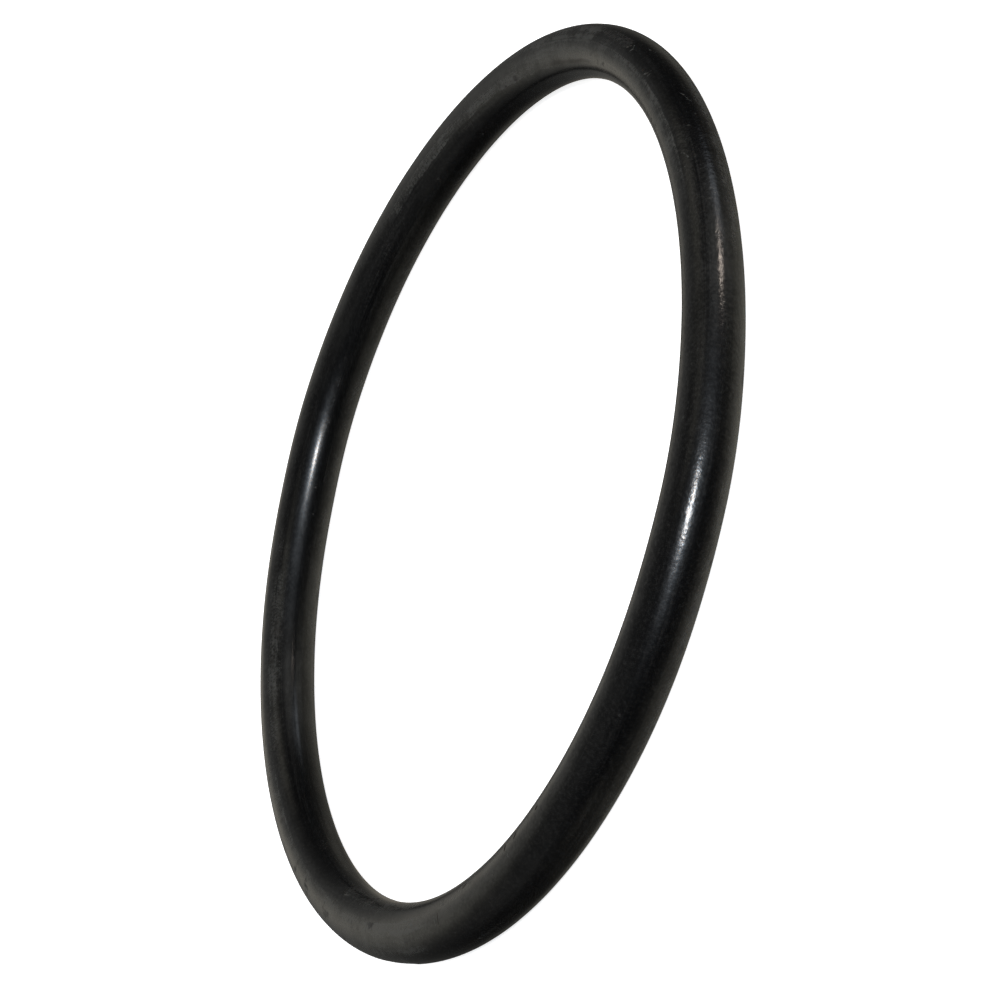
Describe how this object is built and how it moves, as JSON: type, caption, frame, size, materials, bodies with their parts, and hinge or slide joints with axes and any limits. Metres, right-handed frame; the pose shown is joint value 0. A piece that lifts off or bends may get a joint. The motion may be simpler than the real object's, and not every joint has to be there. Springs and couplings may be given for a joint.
{
  "type": "o-ring",
  "caption": "Round rubber sealing ring with a solid round section and a fine trimmed parting-line land round its inside and outside.",
  "frame": {"origin": "centre of the ring, on the plane midway through its thickness", "axes": "+Z along the ring's axis; the ring lies flat in the XY plane"},
  "size_m": [0.0862, 0.0862, 0.0054],
  "materials": {
    "black_rubber": "black moulded rubber with a satin skin, a faint brown-grey bloom, fine orange-peel grain, dust specks and light scuffs"
  },
  "bodies": {
    "root": {"o_ring": "black_rubber"}
  },
  "joints": []
}
